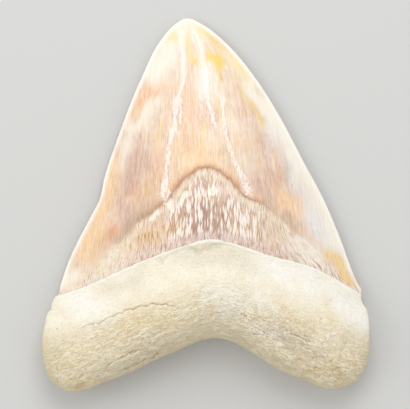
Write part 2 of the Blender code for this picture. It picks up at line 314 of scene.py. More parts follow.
CRACKS = (
    Crack(
        (
            (-7.5, 97.8, 0.9), (-7.3, 92.5, 1.0), (-6.8, 87.7, 0.8), (-7.1, 82.4, 0.7), (-8.3, 79.4, 0.6),
            (-9.0, 76.9, 1.3), (-9.3, 73.2, 0.6), (-10.1, 69.3, 1.1), (-11.1, 65.9, 0.7), (-11.6, 62.0, 1.0),
            (-12.2, 57.6, 0.8), (-12.4, 54.4, 2.0), (-11.6, 50.0, 2.0),
        ), 1.0,
    ),
    Crack(((-7.7, 80.0, 0.4), (-7.8, 75.3, 0.5), (-7.9, 71.3, 0.45), (-8.4, 67.0, 0.4)), 0.8),
    Crack(
        (
            (-4.6, 97.8, 0.7), (-1.9, 93.4, 0.9), (-0.9, 89.5, 1.1), (-0.3, 84.6, 1.6), (0.2, 79.0, 1.2),
            (1.4, 75.4, 0.9), (2.4, 72.2, 1.1), (3.3, 69.4, 0.8),
        ), 0.85,
    ),
    Crack(
        (
            (4.4, 79.8, 0.9), (5.0, 77.8, 1.1), (5.2, 75.0, 0.5), (5.6, 71.5, 0.8), (6.8, 67.0, 0.8),
            (7.9, 63.0, 0.9), (9.4, 60.2, 1.2), (11.3, 57.1, 1.7), (12.4, 54.0, 1.7), (13.7, 50.6, 1.6),
        ), 0.95,
    ),
    Crack(((-1.9, 83.4, 0.5), (-1.6, 77.0, 0.6), (-1.3, 71.1, 0.4)), 0.6, False),
    Crack(((0.3, 72.5, 0.5), (0.6, 70.0, 0.5), (0.9, 67.8, 0.4)), 0.55, False),
    Crack(((-15.6, 74.0, 0.5), (-15.9, 70.0, 0.6), (-15.4, 65.0, 0.4)), 0.35, False),
)


@dataclass(frozen=True)
class Hollow:
    """A smooth oval hollow: its middle, length, breadth and depth in millimetres, and its turn in degrees."""

    x: float
    y: float
    length: float
    breadth: float
    depth: float
    turn: float = 0.0

    def at(self, x: np.ndarray, y: np.ndarray) -> np.ndarray:
        """Depth of the hollow.

        Args:
            x: Places across.
            y: Places along.

        Returns:
            The depth at each point.
        """
        angle = math.radians(self.turn)
        along = (x - self.x) * math.cos(angle) + (y - self.y) * math.sin(angle)
        aside = (y - self.y) * math.cos(angle) - (x - self.x) * math.sin(angle)
        return self.depth * np.exp(-((along / self.length) ** 2) - (aside / self.breadth) ** 2)


@dataclass
class ToothLines:
    """The outline of the tooth and the lines across it, in shares of its width and height."""

    width: float
    height: float
    left_side: Knots = (
        (-41.5, 0.0), (-46.8, 2.4), (-49.6, 7.6), (-50.0, 12.7), (-49.2, 17.8), (-48.0, 21.3),
        (-47.3, 21.9), (-47.35, 22.6), (-46.9, 23.9), (-45.9, 25.4), (-45.3, 25.8), (-44.8, 27.5),
        (-42.6, 33.7), (-38.9, 40.8), (-34.8, 47.6), (-32.7, 51.2), (-31.2, 57.0), (-27.3, 67.3),
        (-20.1, 83.3), (-13.8, 94.1), (-9.4, 98.4),
    )
    tip: Knots = ((-5.9, 100.0),)
    right_side: Knots = (
        (-1.2, 98.4), (5.2, 94.1), (15.6, 83.4), (23.2, 72.7), (29.7, 61.9), (36.2, 51.2),
        (41.4, 40.5), (44.8, 32.4), (46.7, 28.5), (47.6, 27.2), (47.8, 26.1), (47.55, 25.0),
        (48.0, 23.4), (49.15, 21.9), (49.6, 20.2), (49.9, 15.0), (49.6, 9.1), (46.2, 3.0), (38.1, 0.6),
    )
    bottom: Knots = (
        (30.1, 2.9), (22.6, 5.6), (17.7, 8.3), (12.8, 11.0), (6.8, 13.6), (2.3, 14.2),
        (-1.4, 13.6), (-8.4, 11.0), (-15.8, 8.2), (-21.6, 5.6), (-29.6, 2.8),
    )
    root_line: Knots = (
        (-45.6, 25.5), (-37.5, 27.9), (-27.4, 31.9), (-17.3, 35.7), (-6.6, 39.1), (1.4, 40.8),
        (10.6, 39.1), (19.1, 36.5), (32.6, 33.2), (40.2, 29.8), (47.4, 26.0),
    )
    enamel_line: Knots = (
        (-45.2, 26.6), (-39.6, 28.2), (-37.4, 29.6), (-35.8, 31.4), (-33.5, 34.2), (-30.4, 37.0),
        (-26.3, 40.2), (-23.6, 42.0), (-21.6, 44.8), (-19.4, 46.2), (-16.7, 47.6), (-14.9, 49.0),
        (-12.2, 50.6), (-10.2, 53.0), (-8.0, 55.6), (-5.5, 57.5), (-3.2, 59.0), (-0.8, 59.8),
        (1.6, 59.7), (4.1, 58.7), (6.6, 57.2), (8.9, 55.1), (11.3, 52.6), (14.2, 51.2),
        (17.0, 50.2), (20.0, 48.0), (24.0, 45.0), (26.0, 42.6), (29.2, 41.6), (31.4, 40.4),
        (34.3, 38.2), (36.7, 35.8), (38.9, 32.9), (41.9, 30.2), (44.8, 28.5), (47.3, 27.2),
    )
    under_line: Knots = (
        (-46.0, 26.0), (-30.0, 30.5), (-14.0, 35.0), (2.0, 37.0), (16.0, 35.0), (32.0, 30.5),
        (47.4, 26.5),
    )

    def sized(self, knots: Knots) -> np.ndarray:
        """Knots in millimetres from the middle and the bottom."""
        return np.array(knots, dtype=float) * (self.width / 100, self.height / 100)

    def curve(self, knots: Knots) -> np.ndarray:
        """A smooth line through knots, in millimetres."""
        return curve_through(self.sized(knots))

    def outline(self) -> np.ndarray:
        """The closed outline.

        Returns:
            Its points in millimetres, from the tip down the right side and round.
        """
        knots = self.sized(self.left_side + self.tip + self.right_side + self.bottom)
        loop = curve_through(knots, closed=True)
        return np.roll(loop, -int(np.argmax(loop[:, 1])), axis=0)

    def sides(self) -> tuple[np.ndarray, np.ndarray, np.ndarray]:
        """The outline in three.

        Returns:
            The left side and the right side, each upwards, and the bottom from left to right.
        """
        loop = self.outline()
        right_low = int(np.argmin(np.where(loop[:, 0] > 0, loop[:, 1], self.height)))
        left_low = int(np.argmin(np.where(loop[:, 0] < 0, loop[:, 1], self.height)))
        left = np.vstack((loop[left_low:], loop[:1]))
        return left, loop[: right_low + 1][::-1], loop[right_low : left_low + 1][::-1]


@dataclass
class Sheet:
    """Every crossing of a row and a column of the tooth's grid, in millimetres.

    place counts along the tooth from 0 at the bottom, by 1 at the root line and 2 at the enamel line, to 3
    at the tip. across runs from -1 to 1 straight between the sides, and inside is the distance in from the
    outline.
    """

    x: np.ndarray
    y: np.ndarray
    place: np.ndarray
    across: np.ndarray
    inside: np.ndarray

    @property
    def fan(self) -> np.ndarray:
        """Places across that fan out a little from the tip, in millimetres at the middle of the crown."""
        return self.across * 11 + self.x * 0.64

    @property
    def comb(self) -> np.ndarray:
        """Places across that waver, and lean over towards the right corner, in millimetres."""
        lean = ease(self.x, 16.0, 30.0) * (self.y - 45) * 0.5
        return self.fan + lean + 0.5 * Grain(131).cloud(self.x / 7, self.y / 10, 2)

    @property
    def fibre(self) -> np.ndarray:
        """Places along the root, from its bottom, in millimetres."""
        return self.place * 31


@dataclass
class ToothGrid:
    """Lays the rows and columns of the tooth along its own lines."""

    lines: ToothLines
    columns: int = 220
    rows: int = 224
    row_density: Knots = (
        (0.0, 12.0), (0.05, 3.2), (0.3, 1.6), (0.8, 1.5), (0.93, 2.4), (1.0, 3.2), (1.06, 2.0),
        (1.3, 1.0), (1.8, 1.0), (1.94, 2.2), (2.0, 4.0), (2.03, 2.4), (2.1, 1.5), (2.6, 1.35),
        (2.95, 2.0), (3.0, 9.0),
    )
    column_crowding: Knots = ((0.0, 0.6), (1.0, 0.5), (2.0, 0.3), (3.0, 0.2))

    def row_places(self) -> np.ndarray:
        """Places of the rows.

        Returns:
            The places, close together at the rim, at both steps and at the tip.
        """
        fine = np.linspace(0, 3, 4001)
        density = np.interp(fine, *zip(*self.row_density))
        reached = np.concatenate(([0], np.cumsum((density[1:] + density[:-1]) / 2)))
        return np.interp(np.linspace(0, reached[-1], self.rows + 1), reached, fine)

    def column_shares(self, places: np.ndarray) -> np.ndarray:
        """Shares across the tooth for each row.

        Args:
            places: The rows' places.

        Returns:
            A row of shares for each place, closest together at the sides of the root.
        """
        even = np.linspace(0, 1, self.columns + 1)[None, :]
        crowded = (1 - np.cos(even * np.pi)) / 2
        weight = np.interp(places, *zip(*self.column_crowding))[:, None]
        return even + (crowded - even) * weight

    def lay_out(self) -> Sheet:
        """The whole grid, flat.

        Returns:
            Every crossing of the grid.
        """
        left, right, bottom = self.lines.sides()
        places = self.row_places()
        shares = self.column_shares(places)
        lines = (bottom, self.lines.curve(self.lines.root_line), self.lines.curve(self.lines.enamel_line))
        heights = np.full((4, *shares.shape), self.lines.height)
        for number, line in enumerate(lines):
            across = line[0, 0] + (line[-1, 0] - line[0, 0]) * shares
            heights[number] = np.interp(across, line[:, 0], line[:, 1])
        lower = np.minimum(places.astype(int), 2)
        part = (places - lower)[:, None]
        row = np.arange(len(places))
        y = heights[lower, row] * (1 - part) + heights[lower + 1, row] * part
        x_left = np.interp(y[:, :1], left[:, 1], left[:, 0])
        x_right = np.interp(y[:, -1:], right[:, 1], right[:, 0])
        x = x_left + (x_right - x_left) * shares
        side_left = np.interp(y, left[:, 1], left[:, 0])
        side_right = np.interp(y, right[:, 1], right[:, 0])
        across = (2 * x - side_left - side_right) / np.maximum(side_right - side_left, 0.01)
        loop = self.lines.outline()
        inside = distance_to_path(x, y, np.vstack((loop, loop[:1])))
        inside[:, (0, -1)] = 0
        inside[(0, -1), :] = 0
        return Sheet(x, y, np.broadcast_to(places[:, None], x.shape), np.clip(across, -1, 1), inside)


@dataclass
class ToothForm:
    """Heights of the tooth's main shapes over the surface that it lies on, in millimetres."""

    height: float
    half_width: float
    thickness: float
    crown_edge: float = 2.8
    root_edge: float = 9.5
    upper_rounding: float = 13.0
    lower_rounding: float = 8.0
    tip_lift: float = 1.6
    rest_cut: float = 0.35
    lobe_thinning: float = 0.66
    tip_thinning: float = 0.25
    arch_fullness: float = 0.9
    flat_share: float = 0.3
    edge_change: tuple[float, float] = (0.13, 0.33)
    tip_start: float = 0.8
    root_fade: tuple[float, float] = (0.25, 1.15)
    crown_crest: Knots = (
        (0.0, 84.0), (30.0, 86.0), (41.0, 82.0), (50.0, 73.0), (60.0, 62.0), (70.0, 49.5),
        (80.0, 37.0), (90.0, 24.0), (96.0, 15.5), (100.0, 8.5),
    )
    root_crest: Knots = ((0.0, 95.0), (0.3, 101.0), (0.55, 103.0), (0.8, 98.0), (1.0, 89.0), (1.3, 82.0))
    hollows: tuple[Hollow, ...] = (
        Hollow(28.0, 15.5, 9.0, 4.0, 1.0, -24.0),
        Hollow(16.5, 20.5, 7.0, 3.5, 0.5, -20.0),
        Hollow(-40.5, 4.0, 2.8, 2.2, 0.6),
        Hollow(-16.0, 27.0, 12.0, 4.0, 0.4, 14.0),
    )
    under_hollow: Hollow = Hollow(0.0, 26.3, 22.0, 14.0, 2.2)
    lump_width: float = 9.0
    crown_lumps: float = 0.12
    root_lumps: float = 0.6
    under_lumps: float = 0.35

    def edge_height(self, y: np.ndarray) -> np.ndarray:
        """Height of the outline itself: thin at the cutting edges, thick round the root.

        Args:
            y: Places along.

        Returns:
            The height at each place.
        """
        crown = self.crown_edge * (1 - self.tip_thinning * ease(y, self.tip_start * self.height, self.height))
        change = ease(y, self.edge_change[0] * self.height, self.edge_change[1] * self.height)
        return self.root_edge + (crown - self.root_edge) * change

    def lumps(self, sheet: Sheet, layer: float) -> np.ndarray:
        """Soft unevenness between -1 and 1.

        Args:
            sheet: The points.
            layer: Which unevenness, as each layer has its own.

        Returns:
            The unevenness at each point.
        """
        height = np.zeros(sheet.x.shape)
        for spot in np.ndindex(height.shape):
            place = (sheet.x[spot] / self.lump_width, sheet.y[spot] / self.lump_width, layer)
            height[spot] = noise.noise(Vector(place))
        return height

    def root_share(self, sheet: Sheet) -> np.ndarray:
        """How far each point takes the root's shape, from 0 to 1."""
        return 1 - ease(sheet.place, *self.root_fade)

    def upper(self, sheet: Sheet) -> np.ndarray:
        """Heights of the upper face: an arched crown, and a thick root with a rounded rim.

        Args:
            sheet: The points.

        Returns:
            The height at each point.
        """
        edge = self.edge_height(sheet.y)
        arch = 1 - sheet.across**2
        fullness = self.arch_fullness + (1 - self.arch_fullness) * arch
        crest = value_along(self.crown_crest, sheet.y / self.height * 100) * self.thickness / 100
        crown = edge + (crest - edge) * arch * fullness
        lobes = 1 - self.lobe_thinning * np.clip(np.abs(sheet.x) / self.half_width, 0, 1) ** 1.5
        crest = value_along(self.root_crest, sheet.place) * self.thickness / 100
        root = self.root_edge + (crest - self.root_edge) * lobes
        root = edge + (root - edge) * quarter_round(sheet.inside / self.upper_rounding)
        share = self.root_share(sheet)
        relief = self.lumps(sheet, 0.0) * (self.crown_lumps + (self.root_lumps - self.crown_lumps) * share)
        relief -= sum(hollow.at(sheet.x, sheet.y) for hollow in self.hollows)
        return crown + (root - crown) * share + relief * ease(sheet.inside, 0.0, 5.0)

    def lower(self, sheet: Sheet) -> np.ndarray:
        """Heights of the lower face, before it is worn flat: hollow between the lobes, lifted to the rim.

        Args:
            sheet: The points.

        Returns:
            The height at each point.
        """
        edge = self.edge_height(sheet.y)
        side = np.clip((np.abs(sheet.across) - self.flat_share) / (1 - self.flat_share), 0, 1)
        root = edge * (1 - quarter_round(sheet.inside / self.lower_rounding))
        share = 1 - ease(sheet.y, self.edge_change[0] * self.height, self.edge_change[1] * self.height)
        lift = edge * side**2
        lift = lift + (root - lift) * share
        relief = self.under_hollow.at(sheet.x, sheet.y) + self.lumps(sheet, 5.0) * self.under_lumps
        tip = ease(sheet.y, self.tip_start * self.height, self.height) * (1 - np.abs(sheet.across) ** 3)
        return lift + (relief + self.tip_lift * tip - self.rest_cut) * ease(sheet.inside, 0.0, 4.0)


@dataclass
class Surface:
    """One face of the tooth: its heights, and the marks that its finish reads, each from 0 to 1."""

    height: np.ndarray
    marks: dict[str, np.ndarray] = field(default_factory=dict)


@dataclass
class ToothRelief:
    """Fine relief and markings of the tooth, in millimetres."""

    lines: ToothLines
    lip_height: float = 0.32
    lip_width: float = 0.55
    band_depth: float = 0.45
    ledge_height: float = 0.2
    ledge_reach: float = 3.5
    flake_height: float = 0.13
    crack_depth: float = 0.12
    pit_depth: float = 0.28
    crease_depth: float = 0.16
    brink_height: float = 0.12
    scallop_depth: float = 0.35
    flake_grain: float = 0.05
    scar_height: float = 0.05
    wrinkle_height: float = 0.05
    low_wrinkle_height: float = 0.18
    root_lumps: float = 0.15
    root_grain: float = 0.1
    enamel_waves: float = 0.05
    under_lip: float = 0.45
    stain_softness: float = 1.2
    creases: tuple[Knots, ...] = (
        ((-39.3, 17.2), (-31.4, 19.0), (-27.7, 20.7), (-22.2, 22.5), (-13.3, 23.6), (-8.6, 22.9)),
        ((-33.0, 5.6), (-29.6, 7.0), (-26.4, 9.2), (-22.9, 10.4), (-18.7, 11.7)),
        ((-27.0, 5.2), (-19.0, 8.4), (-13.0, 10.9)),
        ((24.0, 16.9), (29.5, 14.2), (32.3, 11.6)),
    )

    def tints(self, sheet: Sheet) -> dict[str, np.ndarray]:
        """How strongly each tint stains each point, with borders that wander.

        Args:
            sheet: The points.

        Returns:
            The strengths, by the tint's name.
        """
        warp_x = sheet.x + 1.3 * Grain(11).cloud(sheet.x / 6, sheet.y / 9)
        warp_y = sheet.y + 2.2 * Grain(17).cloud(sheet.x / 5, sheet.y / 10)
        marks = {}
        for tint, stains in STAINS.items():
            mark = np.zeros(sheet.x.shape)
            for width, strength, *path in stains:
                away = distance_to_path(warp_x, warp_y, self.lines.sized(tuple(path)))
                mark = np.maximum(mark, strength * bump_at(away, 0.0, width * self.stain_softness))
            marks[tint.value] = mark
        return marks

    def cracks(self, sheet: Sheet) -> tuple[np.ndarray, np.ndarray, np.ndarray]:
        """The white cracks of the crown.

        Args:
            sheet: The points.

        Returns:
            How white each point is and how deep in a crack's groove, both from 0 to 1, and how far it is out
            from the nearest crack's border.
        """
        white = np.zeros(sheet.x.shape)
        groove = np.zeros(sheet.x.shape)
        border = np.full(sheet.x.shape, 9.0)
        wander = 0.35 * Grain(23).cloud(sheet.x / 3, sheet.y / 2.2)
        for crack in CRACKS:
            knots = np.array(crack.knots)[::-1] * (self.lines.width / 100, self.lines.height / 100, 1)
            path = curve_through(knots)
            low, high = path[0, 1], path[-1, 1]
            away = np.abs(sheet.x - np.interp(sheet.y, path[:, 1], path[:, 0]) + wander)
            width = np.interp(sheet.y, path[:, 1], path[:, 2])
            ends = ease(sheet.y, low - 0.5, low + 2.0) * (1 - ease(sheet.y, high - 3.0, high + 0.5))
            white = np.maximum(white, crack.strength * ends * np.exp(-((away / width) ** 2)))
            if crack.groove:
                groove = np.maximum(groove, ends * np.exp(-((away / 0.45) ** 2)))
                border = np.minimum(border, away - 0.85 * width + 4 * (1 - ends))
        return white, groove, border

    def above(self, sheet: Sheet, knots: Knots) -> np.ndarray:
        """How far each point is above a line across the tooth.

        Args:
            sheet: The points.
            knots: The line, in shares of the tooth.

        Returns:
            The distances in millimetres, with a minus below the line.
        """
        line = self.lines.curve(knots)
        away = distance_to_path(sheet.x, sheet.y, line)
        return np.where(sheet.y > np.interp(sheet.x, line[:, 0], line[:, 1]), away, -away)

    def pits(self, sheet: Sheet) -> np.ndarray:
        """Small pits of the root, thickest on the right lobe and at the foot of the left one.

        Args:
            sheet: The points.

        Returns:
            How deep in a pit each point is, from 0 to 1.
        """
        thick = Hollow(17.0, 20.5, 7.0, 3.5, 1.0, -20.0).at(sheet.x, sheet.y)
        thick += Hollow(37.0, 8.0, 9.0, 6.0, 0.7).at(sheet.x, sheet.y)
        thick += Hollow(-40.0, 6.0, 8.0, 6.0, 0.7).at(sheet.x, sheet.y)
        thick = np.clip(thick + 0.3 * (1 - ease(sheet.inside, 2.0, 12.0)), 0, 1)
        spots = Grain(61).at(sheet.x / 1.5, sheet.y / 1.2)
        spots = spots + 0.5 * Grain(67).at(sheet.x / 0.9, sheet.y / 0.8)
        return ease(spots, 0.85 - 0.45 * thick, 1.25 - 0.45 * thick)

    def wrinkles(self, sheet: Sheet) -> np.ndarray:
        """Fibrous wrinkles of the root, along its lower edge.

        Args:
            sheet: The points.

        Returns:
            Their height, at most 0.6.
        """
        along = sheet.x + 1.4 * Grain(71).cloud(sheet.x / 6, sheet.fibre / 5)
        across = sheet.fibre + 1.0 * Grain(73).cloud(sheet.x / 6, sheet.fibre / 5)
        folds = Grain(79).cloud(along / 5.5, across / 1.5, 2)
        return 0.6 - 1.6 * np.abs(folds)

    def hairlines(self, sheet: Sheet) -> tuple[np.ndarray, np.ndarray]:
        """The hairline cracks of the root.

        Args:
            sheet: The points.

        Returns:
            How far each point is above the nearest one, and below it with a minus, and how open that one is,
            from 0 to 1.
        """
        y = sheet.y + 0.7 * Grain(89).cloud(sheet.x / 2.5, sheet.y / 2.5)
        nearest = np.full(sheet.x.shape, 99.0)
        opened = np.zeros(sheet.x.shape)
        for crease in self.creases:
            path = self.lines.curve(crease)
            above = y - np.interp(sheet.x, path[:, 0], path[:, 1])
            beyond = np.maximum(path[0, 0] - sheet.x, sheet.x - path[-1, 0])
            closer = np.abs(above) < np.abs(nearest)
            opened = np.where(closer, 1 - ease(beyond, -2.5, 0.5), opened)
            nearest = np.where(closer, above, nearest)
        return nearest, opened

    def upper(self, sheet: Sheet, form: ToothForm) -> Surface:
        """The upper face, with its relief and marks.

        Args:
            sheet: The points.
            form: The main shapes below the relief.

        Returns:
            The face.
        """
        ragged_edge = Grain(97).cloud(sheet.x / 1.8, sheet.y * 0, 2)
        scallops = self.scallop_depth * ragged_edge * ease(sheet.inside, 1.0, 6.0)
        ledge = self.above(sheet, self.lines.enamel_line) + scallops
        lip = self.above(sheet, self.lines.root_line) + 0.4 * scallops
        soft = 0.4 + 0.9 * ease(np.abs(sheet.x - 2.0), 14.0, 30.0)
        enamel = ease(ledge, -soft, soft)
        root = 1 - ease(lip, -0.2, 0.3)
        band = (1 - enamel) * (1 - root)
        deep = 0.15 + 0.85 * ease(sheet.inside, 0.0, 6.0)
        white, groove, border = self.cracks(sheet)
        pits = self.pits(sheet) * root * ease(sheet.inside, 0.5, 3.0)
        crease, opened = self.hairlines(sheet)
        low = 1 - ease(sheet.place, 0.4, 0.8)
        flakes = Grain(53).at(sheet.comb / 1.3, sheet.y / 5.0)
        flakes = flakes + 0.4 * Grain(57).at(sheet.comb / 1.1, sheet.y / 2.8)
        ragged = self.flake_grain * Grain(101).cloud(sheet.x / 1.4, sheet.y / 3)
        relief = self.lip_height * root * bump_at(lip, -self.lip_width, self.lip_width)
        relief -= self.band_depth * band
        relief += self.ledge_height * enamel * (1 - ease(ledge, 0.4, self.ledge_reach))
        relief += band * (self.flake_height * ease(flakes, 0.0, 0.4) + ragged)
        relief -= self.crack_depth * groove * enamel - self.scar_height * white * enamel
        relief -= self.pit_depth * pits + self.crease_depth * root * opened * bump_at(crease, 0.0, 0.4)
        relief += self.brink_height * root * opened * low * bump_at(crease, -0.8, 0.5)
        relief += root * (self.wrinkle_height + self.low_wrinkle_height * low) * self.wrinkles(sheet)
        relief += root * self.root_lumps * Grain(107).cloud(sheet.x / 3.0, sheet.y / 2.4)
        relief += root * self.root_grain * Grain(108).at(sheet.x / 1.3, sheet.y / 1.1)
        relief += enamel * self.enamel_waves * Grain(109).at(sheet.fan / 2.2, sheet.y / 26)
        relief += enamel * self.enamel_waves * Grain(110).cloud(sheet.x / 9, sheet.y / 12)
        height = form.upper(sheet) + relief * deep * ease(sheet.inside, 0.0, 0.8)
        height = np.where(sheet.inside > 0, height, form.edge_height(sheet.y))
        marks = {"ledge": ledge, "lip": lip, "white": white * enamel, "pit": pits}
        marks |= {"crease": crease, "opened": opened, "border": border}
        return Surface(height, marks | self.tints(sheet))

    def lower(self, sheet: Sheet, form: ToothForm) -> Surface:
        """The lower face: enamel down to a shallow arch and the root below it, worn flat where it rests.

        Args:
            sheet: The points.
            form: The main shapes below the relief.

        Returns:
            The face.
        """
        scallops = self.scallop_depth * Grain(113).cloud(sheet.x / 2.0, sheet.y * 0)
        ledge = self.above(sheet, self.lines.under_line) + scallops
        enamel = ease(ledge, -0.25, 0.3)
        root = 1 - enamel
        pits = self.pits(sheet) * root * 0.7 * ease(sheet.inside, 0.5, 3.0)
        white = 0.8 * ease(Grain(127).cloud(sheet.fan / 3.5, sheet.y / 40), 0.62, 0.9) * enamel
        white = white * ease(sheet.inside, 2.0, 6.0)
        relief = self.under_lip * root * (1 - ease(-ledge, 0.0, 9.0)) + 0.2 * pits + 0.06 * white
        relief += root * 0.08 * self.wrinkles(sheet)
        height = form.lower(sheet) + relief * ease(sheet.inside, 0.0, 3.0)
        height = np.where(sheet.inside > 0, np.maximum(height, 0), form.edge_height(sheet.y))
        none = np.zeros(sheet.x.shape)
        marks = {"ledge": ledge, "lip": ledge, "white": white, "pit": pits}
        marks |= {"crease": none, "opened": none, "border": none + 9.0}
        return Surface(height, marks | self.tints(sheet))


class Value:
    """A number from a socket, with Python's own arithmetic."""

    def __init__(self, shader: "Shader", socket: bpy.types.NodeSocket) -> None:
        """Wraps a socket of a shader."""
        self.shader = shader
        self.socket = socket

    def __add__(self, other: "Value | float") -> "Value":
        """Adds a number."""
        return self.shader.maths("ADD", self, other)

    __radd__ = __add__

    def __sub__(self, other: "Value | float") -> "Value":
        """Takes a number away."""
        return self.shader.maths("SUBTRACT", self, other)

    def __rsub__(self, other: float) -> "Value":
        """Takes this from a number."""
        return self.shader.maths("SUBTRACT", other, self)

    def __mul__(self, other: "Value | float") -> "Value":
        """Multiplies by a number."""
        return self.shader.maths("MULTIPLY", self, other)

    __rmul__ = __mul__

    def __truediv__(self, other: "Value | float") -> "Value":
        """Divides by a number."""
        return self.shader.maths("DIVIDE", self, other)

    def __abs__(self) -> "Value":
        """The number without its sign."""
        return self.shader.maths("ABSOLUTE", self, 0.0)

    def clamp(self) -> "Value":
        """The number, kept from 0 to 1."""
        return self.between(0.0, 1.0)

    def between(self, low: float, high: float, smooth: bool = False) -> "Value":
        """How far the number is from low to high, from 0 to 1.

        Args:
            low: The number that gives 0.
            high: The number that gives 1.
            smooth: Whether it starts and ends gently.

        Returns:
            The share.
        """
        settings = {"interpolation_type": "SMOOTHSTEP" if smooth else "LINEAR", "clamp": True}
        sockets = {"Value": self, "From Min": low, "From Max": high}
        return Value(self.shader, self.shader.node("ShaderNodeMapRange", settings, sockets).outputs["Result"])


class Shader:
    """Builds one material's nodes."""

    def __init__(self, name: str) -> None:
        """Starts a material with a Principled shader.

        Args:
            name: The material's name.
        """
        self.material = bpy.data.materials.new(name)
        self.material.use_nodes = True
        self.tree = self.material.node_tree
        self.principled = self.tree.nodes["Principled BSDF"]

    def node(self, kind: str, settings: dict | None = None, sockets: dict | None = None) -> bpy.types.Node:
        """Adds a node.

        Args:
            kind: The node's type.
            settings: Its settings, set first.
            sockets: Values or links of its sockets, by name or number.

        Returns:
            The node.
        """
        made = self.tree.nodes.new(kind)
        for key, value in (settings or {}).items():
            setattr(made, key, value)
        for key, value in (sockets or {}).items():
            self.feed(made.inputs[key], value)
        return made

    def feed(self, socket: bpy.types.NodeSocket, value: object) -> None:
        """Links a socket, or sets its value.

        Args:
            socket: The socket.
            value: A number, a colour, or what is linked to it.
        """
        if isinstance(value, Value):
            self.tree.links.new(value.socket, socket)
        elif isinstance(value, bpy.types.NodeSocket):
            self.tree.links.new(value, socket)
        elif isinstance(value, tuple) and socket.type == "RGBA":
            socket.default_value = (*value, 1.0)
        else:
            socket.default_value = value

    def maths(self, operation: str, first: Value | float, second: Value | float) -> Value:
        """One step of arithmetic."""
        made = self.node("ShaderNodeMath", {"operation": operation}, {0: first, 1: second})
        return Value(self, made.outputs["Value"])

    def mark(self, name: str) -> Value:
        """A mark of the mesh, as a number."""
        return Value(self, self.node("ShaderNodeAttribute", {"attribute_name": name}).outputs["Fac"])

    def places(self, name: str) -> bpy.types.NodeSocket:
        """Places held by the mesh, in millimetres."""
        return self.node("ShaderNodeAttribute", {"attribute_name": name}).outputs["Vector"]

    def stretched(self, places: bpy.types.NodeSocket, size: tuple, shift: float) -> bpy.types.NodeSocket:
        """Places in a texture's own measure.

        Args:
            places: The places, in millimetres.
            size: The texture's size in each direction, in millimetres.
            shift: How far the texture is moved, in its own measure.

        Returns:
            The places, divided by the size and moved.
        """
        shape = tuple(1 / length for length in size)
        scaled = self.node("ShaderNodeVectorMath", {"operation": "MULTIPLY"}, {0: places, 1: shape})
        sockets = {0: scaled.outputs[0], 1: (shift,) * 3}
        return self.node("ShaderNodeVectorMath", {"operation": "ADD"}, sockets).outputs[0]

    def grain(
        self, places: bpy.types.NodeSocket, size: tuple, detail: float = 2.0, shift: float = 0.0
    ) -> Value:
        """Random unevenness from 0 to 1.

        Args:
            places: Where to read it, in millimetres.
            size: How wide its features are in each direction, in millimetres.
            detail: How much finer unevenness it has.
            shift: Sets it apart from another of the same size.

        Returns:
            The unevenness.
        """
        moved = self.stretched(places, size, shift)
        sockets = {"Vector": moved, "Scale": 1.0, "Detail": detail, "Roughness": 0.6}
        return Value(self, self.node("ShaderNodeTexNoise", None, sockets).outputs["Fac"])

    def flakes(
        self, places: bpy.types.NodeSocket, size: tuple, cover: Value | float, shift: float = 0.0
    ) -> tuple[Value, Value]:
        """Separate slender flakes, pointed at both ends.

        Args:
            places: Where to read them, in millimetres.
            size: How far apart they stand in each direction, in millimetres.
            cover: How far each one reaches, as a share of that.
            shift: Sets them apart from others of the same size.

        Returns:
            How far inside a flake each point is, in the same shares and with a minus outside, and a random
            number from 0 to 1 for each flake.
        """
        moved = self.stretched(places, size, shift)
        settings = {"voronoi_dimensions": "2D", "distance": "MINKOWSKI"}
        sockets = {"Vector": moved, "Scale": 1.0, "Exponent": 1.35, "Randomness": 0.85}
        cells = self.node("ShaderNodeTexVoronoi", settings, sockets)
        parts = self.node("ShaderNodeSeparateColor", None, {0: cells.outputs["Color"]})
        chance = Value(self, parts.outputs[0])
        reach = cover * (0.6 + chance * 0.8)
        return reach - Value(self, cells.outputs["Distance"]), chance

    def mix(
        self, share: Value | float, first: object, second: object, blend: str = "MIX"
    ) -> bpy.types.NodeSocket:
        """Mixes two colours.

        Args:
            share: How much of the second colour, from 0 to 1.
            first: A colour, or a link to one.
            second: The other colour.
            blend: How they are mixed.

        Returns:
            The mixed colour.
        """
        settings = {"data_type": "RGBA", "blend_type": blend, "clamp_factor": True}
        return self.node("ShaderNodeMix", settings, {0: share, 6: first, 7: second}).outputs[2]

    def stained(self, base: bpy.types.NodeSocket, soak: Value, stains: tuple) -> bpy.types.NodeSocket:
        """Lays stains over a base.

        Args:
            base: The colour below.
            soak: How much the surface takes up.
            stains: Each stain's tint and its colour here.

        Returns:
            The stained colour.
        """
        shares = [(self.mark(tint.value) * soak).clamp() for tint, _ in stains]
        return self.coats(base, *zip(shares, (colour for _, colour in stains)))

    def coats(self, base: object, *coats: tuple) -> bpy.types.NodeSocket:
        """Lays colours over a base, one after another.

        Args:
            base: The colour below, or a link to one.
            coats: Each coat's share, its colour and, where it isn't a plain mix, how it is mixed.

        Returns:
            The colour on top.
        """
        for share, colour, *blend in coats:
            base = self.mix(share, base, colour, *blend)
        return base


def tone(red: int, green: int, blue: int) -> Colour:
    """A colour as it looks, from 0 to 255, in the shader's linear numbers."""
    return tuple(((part / 255 + 0.055) / 1.055) ** 2.4 for part in (red, green, blue))


@dataclass(frozen=True)
class Layer:
    """What a finish gives at each point: its colour, roughness and height in millimetres."""

    colour: bpy.types.NodeSocket
    roughness: Value
    height: Value


